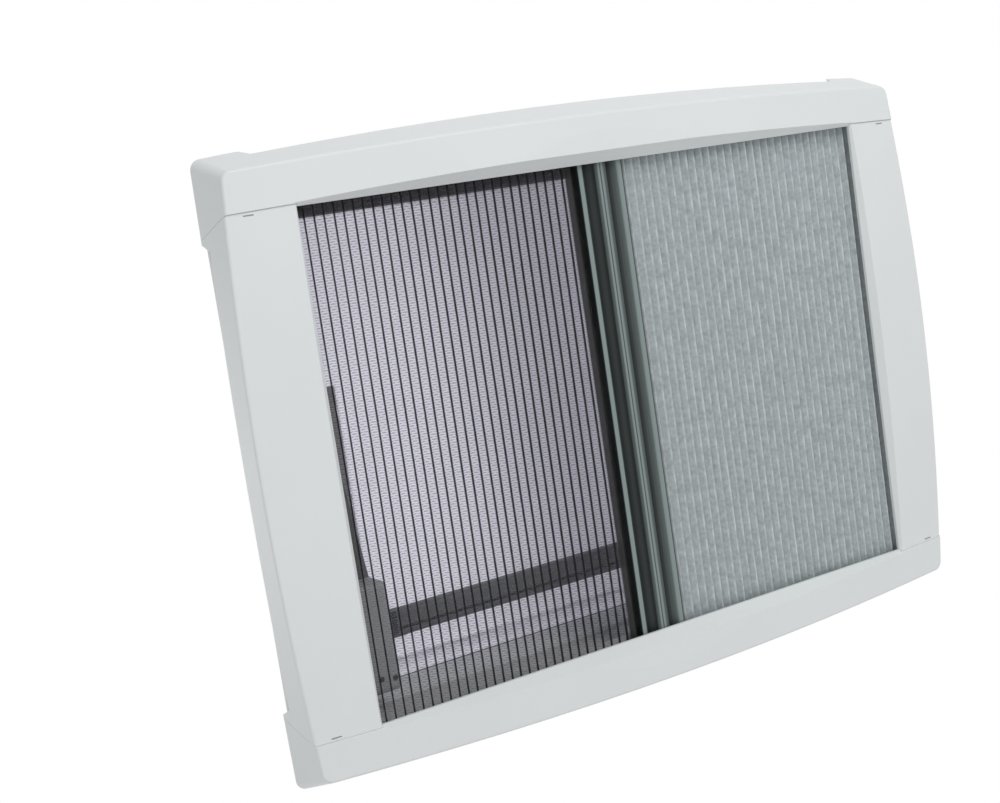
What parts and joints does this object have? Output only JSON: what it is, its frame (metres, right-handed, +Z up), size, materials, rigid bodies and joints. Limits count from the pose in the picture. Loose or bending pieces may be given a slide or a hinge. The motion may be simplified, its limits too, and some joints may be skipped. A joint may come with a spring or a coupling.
{
  "type": "camper roof hatch",
  "caption": "Roof hatch for a camper: hinged double-skinned lid on a flanged frame, operating bow, and an inner trim with a pleated flyscreen and blackout blind.",
  "frame": {"origin": "centre of the roof cut-out, on the flat underside of the roof frame's flange, which seats on the roof", "axes": "+Z up to the sky, +X along the long side with the blind at +X, +Y from the hinge to the opening edge of the lid"},
  "size_m": [0.7898, 0.5786, 0.199],
  "materials": {
    "trim": "fine satin",
    "frame": "fine satin",
    "reveal": "fine satin",
    "seal": "matt",
    "steel": "zinc plated",
    "hinge": "anodised",
    "lid": "translucent acrylic",
    "runner": "satin",
    "bow": "satin",
    "lock": "satin",
    "catch": "satin",
    "guide": "satin",
    "bar": "satin dark grey",
    "bar_rim": "satin grey",
    "flyscreen": "pleated mesh",
    "blind": "pleated non-woven"
  },
  "bodies": {
    "frame": {"trim_left": "trim", "trim_right": "trim", "trim_hinge_side": "trim", "trim_handle_side": "trim", "roof_frame": "frame", "lid_seal": "seal", "reveal_left": "reveal", "reveal_right": "reveal", "reveal_hinge_side": "reveal", "reveal_handle_side": "reveal", "mounting_clamps": "steel", "hinge_frame_leaf": "hinge", "hinge_pin": "steel", "guide_hinge_side": "guide", "guide_handle_side": "guide", "flyscreen_cassette": "guide", "blind_cassette": "guide", "flyscreen": "flyscreen", "blackout_blind": "blind", "bow_pivot_left": "steel", "bow_pivot_right": "steel", "lock_left": "lock", "lock_right": "lock", "lock_catch_left": "catch", "lock_catch_right": "catch"},
    "lid": {"lid_dome": "lid", "lid_inner_pane": "lid", "hinge_lid_leaf": "hinge", "lid_runner_left": "runner", "lid_runner_right": "runner"},
    "bow": {"bow_bar": "bow", "bow_arm_left": "bow", "bow_arm_right": "bow"},
    "flyscreen_bar": {"flyscreen_bar": "bar", "flyscreen_bar_rim": "bar_rim", "flyscreen_bar_lip": "bar_rim", "flyscreen_bar_glides": "catch"},
    "blind_bar": {"blind_bar": "bar", "blind_bar_rim": "bar_rim", "blind_bar_lip": "bar_rim", "blind_bar_glides": "catch"}
  },
  "joints": [
    {"name": "flyscreen_slide", "type": "slide", "parent": "frame", "child": "flyscreen_bar", "axis": [-1, 0, 0], "range_m": [0, 0.285], "deforming": ["flyscreen"]},
    {"name": "blind_slide", "type": "slide", "parent": "frame", "child": "blind_bar", "axis": [1, 0, 0], "range_m": [0, 0.285], "deforming": ["blackout_blind"]},
    {"name": "lid_hinge", "type": "hinge", "parent": "frame", "child": "lid", "pos_m": [0, -0.26, 0.052], "axis": [1, 0, 0], "range_deg": [0, 60]},
    {"name": "bow_swing", "type": "hinge", "parent": "frame", "child": "bow", "pos_m": [0, -0.06, 0.025], "axis": [1, 0, 0], "range_deg": [0, 101]}
  ],
  "couplings": [
    {"joint": "bow_swing", "follows": "lid_hinge", "ratio": 1.67}
  ]
}
